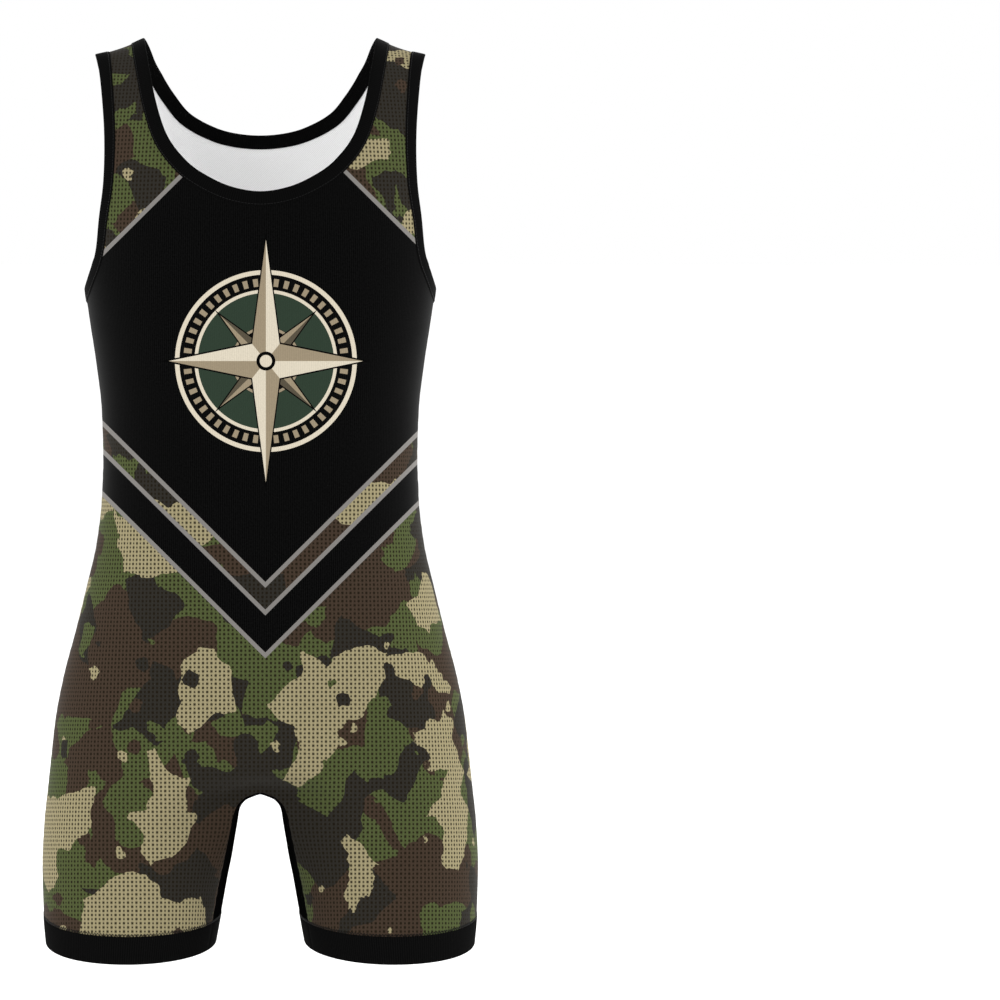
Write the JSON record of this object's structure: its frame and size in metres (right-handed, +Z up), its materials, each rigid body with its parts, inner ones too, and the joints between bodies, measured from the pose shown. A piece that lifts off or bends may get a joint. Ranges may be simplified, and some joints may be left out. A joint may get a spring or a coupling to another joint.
{
  "type": "wrestling singlet",
  "caption": "Sleeveless one-piece stretch singlet with a scooped neck, bound shoulder straps and banded mid-thigh legs, filled out and hollow.",
  "frame": {"origin": "midway between the two shoulders, level with the tops of the straps, in the plane of the side seams, where the wearer carries the garment", "axes": "+Z up along the body, -Y out of the front of the garment, +X towards the wearer's left"},
  "size_m": [0.396, 0.2334, 0.8158],
  "materials": {
    "front_print": "matt printed stretch knit, camouflage and black",
    "back_print": "matt printed stretch knit, camouflage and black",
    "black_knit": "matt black stretch knit",
    "binding": "matt black folded knit binding",
    "leg_band": "matt black ribbed band"
  },
  "bodies": {
    "root": {"front_panel": "front_print", "back_panel": "back_print", "inseam_gusset": "black_knit", "neck_binding": "binding", "armhole_binding_left": "binding", "armhole_binding_right": "binding", "leg_band_left": "leg_band", "leg_band_right": "leg_band"}
  },
  "joints": []
}
